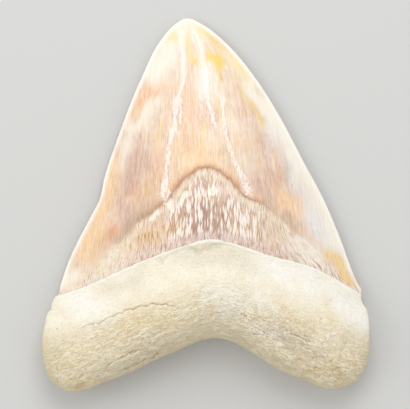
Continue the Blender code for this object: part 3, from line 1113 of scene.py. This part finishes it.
@dataclass(frozen=True)
class EnamelFinish:
    """Glossy fossil enamel, peach and cream, with fine streaks that fan out from the tip."""

    peach: Colour = tone(238, 212, 187)
    tan: Colour = tone(220, 190, 166)
    ochre: Colour = tone(230, 196, 142)
    cream: Colour = tone(246, 239, 223)
    white: Colour = tone(250, 247, 244)
    amber: Colour = tone(241, 209, 96)
    orange: Colour = tone(238, 188, 144)
    red: Colour = tone(230, 158, 118)
    mauve: Colour = tone(204, 168, 152)
    honey: Colour = tone(244, 208, 164)
    ash: Colour = tone(190, 166, 144)
    ashen_shadow: Colour = tone(158, 132, 110)
    light: Colour = tone(252, 233, 211)
    shade: Colour = tone(214, 206, 200)
    rim: Colour = tone(252, 246, 236)
    grey: Colour = tone(232, 229, 226)
    lilac: Colour = tone(245, 237, 231)
    shadow_umber: Colour = tone(184, 130, 96)

    def layer(self, shader: Shader, ledge: Value) -> Layer:
        """The enamel's colour, gloss and relief.

        Args:
            shader: The material to build in.
            ledge: The height above the enamel's lower edge, in millimetres.

        Returns:
            The finish at each point.
        """
        flow = shader.places("flow")
        streaks = shader.grain(flow, (0.8, 15.0, 1.0), 3.0).between(0.33, 0.67)
        hairs = shader.grain(flow, (0.3, 7.0, 1.0), 2.0, 7.0).between(0.3, 0.7)
        dashes = shader.grain(flow, (0.42, 2.6, 1.0), 2.0, 13.0).between(0.3, 0.7)
        clouds = shader.grain(flow, (5.0, 9.0, 1.0), 3.0, 3.0).between(0.3, 0.7)
        ribbons = shader.grain(flow, (1.4, 12.0, 1.0), 2.0, 31.0).between(0.3, 0.7)
        veils_and_sheen = shader.grain(flow, (1.1, 8.0, 1.0), 2.0, 37.0).between(0.5, 0.75)
        blooms = shader.grain(flow, (3.2, 5.0, 1.0), 3.0, 47.0).between(0.3, 0.7)
        hues = shader.grain(flow, (2.4, 4.4, 1.0), 2.0, 53.0).between(0.3, 0.7)
        strands = shader.grain(flow, (0.5, 2.2, 1.0), 2.0, 41.0).between(0.36, 0.62)
        lace = shader.grain(shader.places("flat"), (0.7, 0.9, 1.0), 2.0, 43.0).between(0.4, 0.6)
        smooth = shader.mark("pale")
        core = shader.mark("core")
        arc = shader.mark("arc")
        soak = 0.4 + streaks * 0.6 + clouds * 0.3 + hairs * 0.3
        edge = 1 - shader.mark("inside").between(0.2, 1.8, smooth=True)
        lines = (0.4 + core * 0.08) * (1 - smooth * 0.8 - edge * 0.5)
        ash_share = shader.mark("ash").clamp()
        glow = ledge.between(4.0, 0.3, smooth=True) * (0.15 + arc * 0.4) * (1 - ash_share * 0.8)
        # foot is painted shadow along the enamel's lower edge, strongest round the arc; it is laid on below
        # as a dark line.
        foot = ledge.between(2.0, 0.0, smooth=True) * (0.15 + arc * 0.85)
        whole = shader.mark("place").between(2.25, 2.7)
        # seam is painted shadow along one side of each white crack's groove.
        seam = (1 - abs(shader.mark("border")) / 0.22).clamp() * ribbons.between(0.35, 0.65) * (1 - foot)
        solid = 0.1 + strands * 0.6 + lace * 0.6 + whole * 0.6
        white = (shader.mark("white") * solid).between(0.22, 0.75) * (0.85 - whole * 0.3)
        base = shader.coats(
            shader.mix(clouds * 0.5, self.peach, self.cream),
            (streaks * 0.6, self.tan),
            (ribbons.between(0.55, 1.0) * 0.7, self.mauve),
            (ribbons.between(0.45, 0.0) * 0.6, self.ochre),
            (blooms.between(0.55, 1.0) * 0.5, self.orange),
            (blooms.between(0.45, 0.0) * 0.5, self.cream),
            (hues.between(0.55, 1.0) * (1 - core) * 0.5, self.mauve),
            (hues.between(0.45, 0.0) * (1 - core) * 0.5, self.honey),
            # Whitish veils, strongest at the crown's crest: partly the enamel's own colour, partly painted
            # sheen.
            (veils_and_sheen * (0.2 + core * 0.35), self.white),
        )
        stains = (
            (Tint.ORANGE, self.orange), (Tint.MAUVE, self.mauve), (Tint.RED, self.red),
            (Tint.GREY, self.grey), (Tint.PALE, self.cream), (Tint.OCHRE, self.ochre),
            (Tint.AMBER, self.amber), (Tint.HONEY, self.honey), (Tint.ASH, self.ash),
        )
        base = shader.coats(
            shader.stained(base, soak, stains),
            ((edge * (0.7 + clouds * 0.6)).clamp(), self.rim),
            ((hairs.between(0.52, 0.9) * lines * 0.85).clamp(), self.light),
            ((hairs.between(0.46, 0.08) * lines * 0.8).clamp(), self.shade, "MULTIPLY"),
            ((dashes.between(0.55, 0.9) * lines * 0.65).clamp(), self.shade, "MULTIPLY"),
            ((dashes.between(0.45, 0.1) * lines * 0.5).clamp(), self.light),
            (glow, self.orange),
            # Painted shadow line along the enamel's lower edge, umber, or ashen where the ash stain lies.
            (foot * (0.4 + dashes * 0.5), shader.mix(ash_share, self.shadow_umber, self.ashen_shadow)),
            # Painted shadow beside the cracks.
            (seam * 0.45, self.shadow_umber),
            (white, shader.mix(whole, self.lilac, self.white)),
        )
        rough = 0.28 + streaks * 0.1 + white * 0.3
        return Layer(base, rough, streaks * 0.04 + hairs * 0.03 + dashes * 0.01 + white * 0.05)


@dataclass(frozen=True)
class BandFinish:
    """The band between enamel and root: slender upright flakes of cream over tan and mauve-brown."""

    tan: Colour = tone(206, 173, 136)
    pink: Colour = tone(214, 180, 160)
    deep: Colour = tone(152, 112, 104)
    amber: Colour = tone(206, 154, 98)
    sand: Colour = tone(232, 219, 190)
    cream: Colour = tone(251, 244, 232)
    ivory: Colour = tone(243, 229, 203)
    lilac: Colour = tone(240, 226, 221)
    brown: Colour = tone(166, 118, 84)
    shadow_umber: Colour = tone(180, 130, 96)
    gold: Colour = tone(240, 214, 164)
    saffron: Colour = tone(243, 207, 132)
    dark: Colour = tone(104, 78, 60)
    rose: Colour = tone(208, 160, 148)
    blush: Colour = tone(247, 226, 216)
    milk: Colour = tone(247, 239, 228)
    white: Colour = tone(252, 249, 232)

    def layer(self, shader: Shader, ledge: Value, lip: Value) -> Layer:
        """The band's colour, gloss and relief.

        Args:
            shader: The material to build in.
            ledge: The height above the enamel's lower edge, in millimetres.
            lip: The height above the root's upper edge, in millimetres.

        Returns:
            The finish at each point.
        """
        comb = shader.places("comb")
        wing = shader.mark("wing")
        deep = shader.mark("deep")
        tan = shader.mark("tan")
        hem = lip.between(3.8, 2.4, smooth=True) * shader.mark("hem")
        large, chance = shader.flakes(comb, (0.82, 4.8, 1.0), 0.62 - deep * 0.1 - hem * 0.1)
        small, luck = shader.flakes(comb, (0.5, 2.7, 1.0), 0.64 - deep * 0.17, 7.0)
        threads = shader.grain(comb, (0.45, 5.5, 1.0), 2.0, 25.0).between(0.36, 0.64)
        dashes = shader.grain(comb, (0.33, 3.2, 1.0), 2.0, 17.0).between(0.3, 0.7)
        clouds = shader.grain(comb, (3.5, 4.0, 1.0), 3.0, 9.0).between(0.3, 0.7)
        hues = shader.grain(comb, (1.5, 3.0, 1.0), 2.0, 33.0).between(0.3, 0.7)
        top = ledge.between(-4.0, -1.2, smooth=True)
        foot = lip.between(4.5, 0.8, smooth=True)
        flaky = (shader.mark("flaky") * (1 - top * 0.8) * (1 - foot * 0.8) + hem + 0.15).clamp()
        smooth = (top * 0.6 + wing * 0.75).clamp()
        gaps = shader.coats(
            shader.mix(clouds, self.tan, self.pink),
            ((deep * (0.6 + dashes * 0.9)).clamp(), self.deep),
            ((tan * (0.6 + dashes)).clamp(), self.amber),
            (smooth * (1 - tan * 0.6), self.sand),
            (hues.between(0.55, 1.0) * (0.6 - hem * 0.4), self.rose),
            (hues.between(0.45, 0.0) * (0.5 - hem * 0.3), self.amber),
            (shader.mark("hem") * (0.45 + clouds * 0.4), self.milk),
            ((shader.mark("amber") * 1.1).clamp(), self.saffron),
        )
        crests = shader.coats(
            shader.mix(clouds * 0.4 + chance * 0.6, self.ivory, self.cream),
            (chance.between(0.4, 0.6) * 0.6, self.lilac),
            (hues.between(0.55, 1.0) * 0.7, self.blush),
            (hues.between(0.45, 0.0) * 0.4, self.gold),
            (tan * 0.5, self.gold),
            (foot * (1 - wing) * 0.8, self.lilac),
            (shader.mark("hem") * 0.5, self.milk),
            ((shader.mark("amber") * 0.9).clamp(), self.saffron),
        )
        flake = large.between(0.0, 0.22, smooth=True) * flaky * (1 - hem * 0.85)
        fine = small.between(0.0, 0.22, smooth=True) * (0.8 - luck * 0.4) * (1 - flake)
        borders = (1 - abs(large + 0.06) / 0.12).clamp() * flaky * (1 - hem)
        lines = 0.45 - wing * 0.25 + tan * 0.3 + top * 0.2
        ticks, _ = shader.flakes(comb, (0.5, 4.2, 1.0), 0.42, 19.0)
        marks = ticks.between(0.0, 0.2, smooth=True) * 0.65 + dashes.between(0.55, 0.85) * 0.1
        pale = shader.mark("pale")
        # rim is painted shadow in the band just below the enamel's lower edge, strongest round the arc.
        rim = ledge.between(-1.4, 0.0, smooth=True) * (0.1 + shader.mark("arc") * 0.9)
        rim = rim * (1 - pale.clamp() * 0.8)
        base = shader.coats(
            shader.mix(threads * (0.65 - flaky * 0.4 + hem * 0.35), gaps, crests),
            ((flake * (0.7 + chance * 0.4) + fine * (0.75 - flaky * 0.35)).clamp(), crests),
            ((borders * (0.15 + dashes * 0.5)).clamp(), self.brown),
            ((dashes.between(0.6, 0.9) * lines).clamp(), self.brown),
            (foot * dashes.between(0.5, 0.85) * (0.5 - wing * 0.4), self.deep),
            (hem * marks, self.brown),
            ((shader.mark("brown") * dashes.between(0.5, 0.8)).clamp() * 0.8, self.dark),
            (pale.between(0.3, 0.8, smooth=True) * (0.5 + dashes * 0.4), self.white),
            # Painted shadow below the enamel's edge.
            (rim * (0.35 + dashes * 0.5), self.shadow_umber),
        )
        rough = 0.5 + dashes * 0.15
        return Layer(base, rough, flake * 0.14 + fine * 0.06 + threads * 0.03)


@dataclass(frozen=True)
class RootFinish:
    """The matt root: cream above, buff below, with fibrous lines, pits and hairline cracks, and painted light
    and shade on its relief.
    """

    cream: Colour = tone(240, 230, 206)
    ivory: Colour = tone(246, 240, 224)
    buff: Colour = tone(232, 215, 174)
    olive: Colour = tone(204, 186, 142)
    chalk: Colour = tone(248, 245, 236)
    ochre: Colour = tone(222, 200, 148)
    ash: Colour = tone(200, 190, 168)
    brown: Colour = tone(160, 136, 100)
    dark: Colour = tone(118, 98, 74)
    light: Colour = tone(250, 239, 211)
    rust: Colour = tone(222, 192, 156)
    haze: Colour = tone(228, 223, 208)
    white: Colour = tone(252, 251, 248)

    def layer(self, shader: Shader, lip: Value) -> Layer:
        """The root's colour, dullness and relief.

        Args:
            shader: The material to build in.
            lip: The height above the root's upper edge, in millimetres.

        Returns:
            The finish at each point.
        """
        grown = shader.places("grown")
        flat = shader.places("flat")
        wrinkles = shader.grain(grown, (3.6, 1.0, 2.6), 3.0)
        folds = 1 - (abs(wrinkles - 0.5) * 22.0).clamp()
        ridges = 1 - (abs(shader.grain(grown, (3.4, 1.5, 2.6), 2.0, 15.0) - 0.5) * 12.0).clamp()
        fibres = shader.grain(grown, (3.0, 0.55, 2.0), 2.0, 6.0).between(0.3, 0.7)
        clouds = shader.grain(flat, (7.0, 5.0, 5.0), 3.0, 2.0).between(0.3, 0.7)
        grit = shader.grain(flat, (0.75, 0.6, 0.6), 2.0, 4.0).between(0.3, 0.7)
        flecks = shader.grain(grown, (1.1, 0.5, 1.0), 2.0, 8.0).between(0.56, 0.72)
        spots = shader.grain(flat, (0.5, 0.42, 0.5), 1.0, 12.0)
        hues = shader.grain(grown, (3.4, 1.6, 2.4), 2.0, 19.0).between(0.3, 0.7)
        low = shader.mark("place").between(0.72, 0.36, smooth=True)
        soak = 0.5 + clouds * 0.4 + grit * 0.5
        # worn is only a weight that grows towards the bottom of the root.
        worn = 0.35 + low * 0.65
        speckled = (shader.mark("speckle") * 1.4 + low * 0.18).clamp()
        opened = shader.mark("opened")
        line = shader.mark("crease")
        crease = (1 - (abs(line + (grit - 0.5) * 0.3) / 0.3).clamp()) * opened
        # brink is painted highlight on the raised strip just below each hairline crack.
        brink = (1 - abs(line + 0.62) / 0.36).clamp() * opened * low
        stains = (
            (Tint.OCHRE, self.ochre), (Tint.ASH, self.ash), (Tint.CHALK, self.chalk),
            (Tint.BROWN, self.brown),
        )
        base = shader.mix(clouds, self.cream, self.ivory)
        base = shader.mix(low * (0.35 + clouds * 0.6), base, self.buff)
        base = shader.coats(
            shader.stained(base, soak, stains),
            (hues.between(0.55, 1.0) * low * 0.55, self.rust),
            (hues.between(0.45, 0.0) * low * 0.5, self.haze),
            (grit.between(0.5, 0.95) * 0.2, self.olive),
            (fibres.between(0.55, 0.95) * worn * 0.25, self.olive),
            # Painted shade in the wrinkles' hollows and painted highlight on their crests; the same wrinkles
            # raise the bump.
            (wrinkles.between(0.47, 0.3) * low * 0.5, self.olive),
            (wrinkles.between(0.54, 0.7) * low * 0.55, self.light),
            # Painted highlights on small raised flecks, stronger towards the bottom.
            (flecks * worn * 0.8, self.light),
            # Painted highlight along the raised ridges and painted shade in the sunken folds.
            (ridges * low * (0.05 + clouds * 0.75), self.light),
            (folds * low * (0.1 + grit * 0.45), self.brown),
            (shader.mark("pit") * 0.6, self.brown),
            (spots.between(0.62, 0.7) * speckled, self.white),
            (spots.between(0.38, 0.31) * speckled * 0.7, self.dark),
            ((crease * (0.25 + grit * 0.5 + low * 0.3)).clamp(), self.brown),
            # Painted highlight on the brinks of the hairline cracks.
            (brink * 0.5, self.light),
            (shader.mark("inside").between(6.0, 0.0) * low * 0.3, self.olive),
            (lip.between(-1.5, -0.4, smooth=True) * 0.6, self.chalk),
        )
        rough = 0.68 + grit * 0.15
        height = wrinkles * (0.4 + low * 0.35) + grit * 0.08 + flecks * 0.06 + fibres * 0.05
        height = height + ridges * low * 0.08 - folds * low * 0.06 - crease * 0.1
        return Layer(base, rough, height)


@dataclass
class FossilTooth:
    """The whole tooth as one closed piece."""

    low: Vector
    high: Vector
    weld: float = 0.001 * MM
    dark_places: tuple[Hollow, ...] = (
        Hollow(-1.0, 53.8, 7.5, 4.0, 0.6),
        Hollow(-3.0, 54.5, 14.0, 8.0, 0.5),
        Hollow(-0.4, 59.6, 3.4, 3.0, 0.45),
    )
    speckled_places: tuple[Hollow, ...] = (
        Hollow(17.5, 20.5, 7.0, 3.2, 1.0, -20.0),
        Hollow(39.0, 5.0, 7.0, 3.0, 0.5),
    )
    tan_place: Hollow = Hollow(-16.5, 50.6, 8.0, 3.8, 1.0, 20.0)
    core_place: Hollow = Hollow(0.0, 82.0, 14.0, 26.0, 1.0)
    bare_place: Hollow = Hollow(7.5, 65.0, 5.5, 3.5, 0.85, -25.0)

    def __post_init__(self) -> None:
        """Takes the tooth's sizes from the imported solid."""
        size = (self.high - self.low) / MM
        self.lines = ToothLines(size.x, size.y)
        self.grid = ToothGrid(self.lines)
        self.form = ToothForm(size.y, size.x / 2, size.z)
        self.relief = ToothRelief(self.lines)

    def extra_marks(self, sheet: Sheet, upper: bool) -> dict[str, np.ndarray]:
        """Marks that follow from a point's place alone.

        Args:
            sheet: The points.
            upper: Whether they are on the upper face.

        Returns:
            The marks by name.
        """
        x, y = sheet.x, sheet.y
        share = 1.0 if upper else 0.0
        under = np.clip(0.4 + 2.2 * y / self.lines.height, 0, 3)
        bare = self.bare_place.at(x, y)
        return {
            "place": sheet.place + (under - sheet.place) * (1 - share) * ease(sheet.inside, 0.0, 9.0),
            "inside": sheet.inside,
            "deep": share * sum(hollow.at(x, y) for hollow in self.dark_places),
            "tan": share * self.tan_place.at(x, y),
            "wing": ease(np.abs(x - 2.0), 20.0, 32.0),
            "arc": share * (1 - ease(x, 12.5, 23.5)) * (1 - ease(-x, 20.0, 30.0)),
            "hem": share * ease(x, 24.0, 31.0),
            "flaky": share * (1 - ease(np.abs(x - 3.0), 12.0, 19.0)) * (1 - bare),
            "core": share * self.core_place.at(x, y),
            "speckle": sum(hollow.at(x, y) for hollow in self.speckled_places),
        }

    def fit(self, points: np.ndarray) -> np.ndarray:
        """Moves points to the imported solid's place.

        Args:
            points: Points in millimetres on the tooth.

        Returns:
            The points in metres.
        """
        low, high = points.min(axis=0), points.max(axis=0)
        box_low, box_high = np.array(self.low), np.array(self.high)
        fitted = points * MM
        for axis in (0, 1):
            share = (points[:, axis] - low[axis]) / (high[axis] - low[axis])
            fitted[:, axis] = box_low[axis] + share * (box_high[axis] - box_low[axis])
        fitted[:, 2] += box_low[2]
        return fitted

    def add_sheet(self, body: bmesh.types.BMesh, facing_up: bool) -> None:
        """Adds one flat grid to the body, with a face for each cell.

        Args:
            body: What it is added to.
            facing_up: Whether its faces point up.
        """
        columns, rows = self.grid.columns, self.grid.rows
        made = bmesh.ops.create_grid(body, x_segments=columns, y_segments=rows, size=1.0)
        if not facing_up:
            faces = {face for vertex in made["verts"] for face in vertex.link_faces}
            bmesh.ops.reverse_faces(body, faces=list(faces))

    def build(self) -> bpy.types.Object:
        """Models the tooth and stores its marks on the mesh.

        Returns:
            The piece.
        """
        sheet = self.grid.lay_out()
        surfaces = (self.relief.upper(sheet, self.form), self.relief.lower(sheet, self.form))
        body = bmesh.new()
        self.add_sheet(body, True)
        self.add_sheet(body, False)
        mesh = bpy.data.meshes.new("fossil_tooth")
        body.to_mesh(mesh)
        body.free()
        self.shape(mesh, sheet, surfaces)
        self.close(mesh)
        piece = bpy.data.objects.new("fossil_tooth", mesh)
        bpy.context.scene.collection.objects.link(piece)
        return piece

    def shape(self, mesh: bpy.types.Mesh, sheet: Sheet, surfaces: tuple[Surface, Surface]) -> None:
        """Bends both grids into the tooth's faces and writes their marks.

        Args:
            mesh: The two flat grids.
            sheet: The points.
            surfaces: The upper face and the lower one.
        """
        flat = np.zeros(len(mesh.vertices) * 3)
        mesh.vertices.foreach_get("co", flat)
        flat = flat.reshape(-1, 3)
        column = np.rint((flat[:, 0] + 1) / 2 * self.grid.columns).astype(int)
        row = np.rint((flat[:, 1] + 1) / 2 * self.grid.rows).astype(int)
        half = len(flat) // 2
        pick = (row[:half], column[:half])
        points = []
        for surface in surfaces:
            points.append(np.column_stack((sheet.x[pick], sheet.y[pick], surface.height[pick])))
        mesh.vertices.foreach_set("co", self.fit(np.vstack(points)).ravel())
        marks = [surface.marks | self.extra_marks(sheet, surface is surfaces[0]) for surface in surfaces]
        for name in marks[0]:
            values = np.concatenate([kind[name][pick] for kind in marks])
            mesh.attributes.new(name, "FLOAT", "POINT").data.foreach_set("value", values.astype(np.float32))
        under = 3.0 * ease(sheet.inside[pick], 0.0, 6.0)
        layer = np.concatenate((np.zeros(half), under))
        twice = {key: np.tile(getattr(sheet, key)[pick], 2) for key in ("x", "y", "fan", "comb", "fibre")}
        height = np.vstack(points)[:, 2]
        for name, parts in (
            ("flow", (twice["fan"], twice["y"], layer)),
            ("comb", (twice["comb"], twice["y"], layer)),
            ("grown", (twice["x"], twice["fibre"], height)),
            ("flat", (twice["x"], twice["y"], height)),
        ):
            values = np.column_stack(parts).astype(np.float32).ravel()
            mesh.attributes.new(name, "FLOAT_VECTOR", "POINT").data.foreach_set("vector", values)

    def close(self, mesh: bpy.types.Mesh) -> None:
        """Joins the two faces along the rim and smooths the shading.

        Args:
            mesh: The tooth's mesh.
        """
        body = bmesh.new()
        body.from_mesh(mesh)
        bmesh.ops.remove_doubles(body, verts=body.verts, dist=self.weld)
        body.to_mesh(mesh)
        body.free()
        mesh.shade_smooth()

    def dress(self, piece: bpy.types.Object) -> None:
        """Gives the tooth its enamel, band and root.

        Args:
            piece: The tooth.
        """
        shader = Shader("fossil tooth")
        ragged = (shader.grain(shader.places("flow"), (0.5, 1.2, 1.0), 2.0, 21.0) - 0.5) * 1.6
        ledge = shader.mark("ledge") + ragged
        lip = shader.mark("lip") + ragged * 0.4
        enamel = EnamelFinish().layer(shader, ledge)
        band = BandFinish().layer(shader, ledge, lip)
        root = RootFinish().layer(shader, lip)
        enamel_share = (ledge / (0.15 + shader.mark("wing") * 0.9)).between(-1.0, 1.0)
        root_share = lip.between(0.1, -0.1)
        band_share = (1 - enamel_share - root_share).clamp()
        colour = shader.mix(root_share, shader.mix(enamel_share, band.colour, enamel.colour), root.colour)
        rough = root.roughness * root_share + band.roughness * band_share + enamel.roughness * enamel_share
        height = root.height * root_share + band.height * band_share + enamel.height * enamel_share
        sockets = {"Strength": 1.0, "Distance": MM, "Height": height}
        relief = shader.node("ShaderNodeBump", None, sockets)
        shader.feed(shader.principled.inputs["Base Color"], colour)
        shader.feed(shader.principled.inputs["Roughness"], rough)
        shader.feed(shader.principled.inputs["Normal"], relief.outputs["Normal"])
        shader.principled.inputs["IOR"].default_value = 1.5
        piece.data.materials.append(shader.material)


@dataclass
class Studio:
    """A plain pale floor, soft light from above and behind the tip, and a camera that looks straight down."""

    view_width: float = 0.1312
    camera_place: float = -0.00024
    camera_height: float = 1.2
    focus_height: float = 0.006
    sensor: float = 36.0
    floor_size: float = 3.0
    floor_colour: Colour = tone(206, 206, 204)
    sky: Colour = (1.0, 1.0, 1.0)
    sky_strength: float = 0.72

    def floor(self) -> bpy.types.Object:
        """The surface that the tooth lies on.

        Returns:
            The floor.
        """
        body = bmesh.new()
        bmesh.ops.create_grid(body, x_segments=1, y_segments=1, size=self.floor_size / 2)
        mesh = bpy.data.meshes.new("floor")
        body.to_mesh(mesh)
        body.free()
        shader = Shader("pale floor")
        shader.principled.inputs["Base Color"].default_value = (*self.floor_colour, 1.0)
        shader.principled.inputs["Roughness"].default_value = 0.9
        mesh.materials.append(shader.material)
        surface = bpy.data.objects.new("floor", mesh)
        bpy.context.scene.collection.objects.link(surface)
        return surface

    def lamp(self, name: str, place: tuple, size: float, power: float) -> None:
        """Adds a square softbox that faces the tooth.

        Args:
            name: Its name.
            place: Where it stands, in metres.
            size: Its side, in metres.
            power: Its power, in watts.
        """
        data = bpy.data.lights.new(name, "AREA")
        data.size = size
        data.energy = power
        lamp = bpy.data.objects.new(name, data)
        lamp.location = place
        lamp.rotation_mode = "QUATERNION"
        lamp.rotation_quaternion = (-Vector(place)).to_track_quat("-Z", "Y")
        bpy.context.scene.collection.objects.link(lamp)

    def light(self) -> None:
        """Lights the tooth."""
        world = bpy.data.worlds.new("studio")
        world.use_nodes = True
        background = world.node_tree.nodes["Background"]
        background.inputs["Color"].default_value = (*self.sky, 1.0)
        background.inputs["Strength"].default_value = self.sky_strength
        bpy.context.scene.world = world
        self.lamp("softbox behind the tip", (0.05, 0.5, 0.62), 0.55, 2.7)
        self.lamp("softbox on the left", (-0.55, -0.05, 0.6), 0.5, 1.0)

    def camera(self) -> None:
        """Sets the camera straight above the tooth, with the tip upwards."""
        data = bpy.data.cameras.new("camera")
        data.sensor_width = self.sensor
        data.lens = self.sensor * (self.camera_height - self.focus_height) / self.view_width
        data.clip_start = 0.01
        data.clip_end = 10.0
        camera = bpy.data.objects.new("camera", data)
        camera.location = (self.camera_place, 0.0, self.camera_height)
        bpy.context.scene.collection.objects.link(camera)
        bpy.context.scene.camera = camera

    def set_up(self) -> None:
        """Builds the floor, the lights and the camera."""
        self.floor()
        self.light()
        self.camera()
        bpy.context.scene.view_settings.view_transform = "Standard"


def main() -> None:
    """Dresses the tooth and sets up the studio."""
    logging.basicConfig(level=logging.INFO, format="%(name)s: %(message)s")
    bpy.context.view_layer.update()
    tooth = FossilTooth(*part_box(NODE))
    piece = tooth.build()
    tooth.dress(piece)
    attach(piece, "root")
    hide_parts(NODE)
    LOG.info("%s has %d faces", piece.name, len(piece.data.polygons))
    Studio().set_up()


if __name__ == "__main__":
    main()
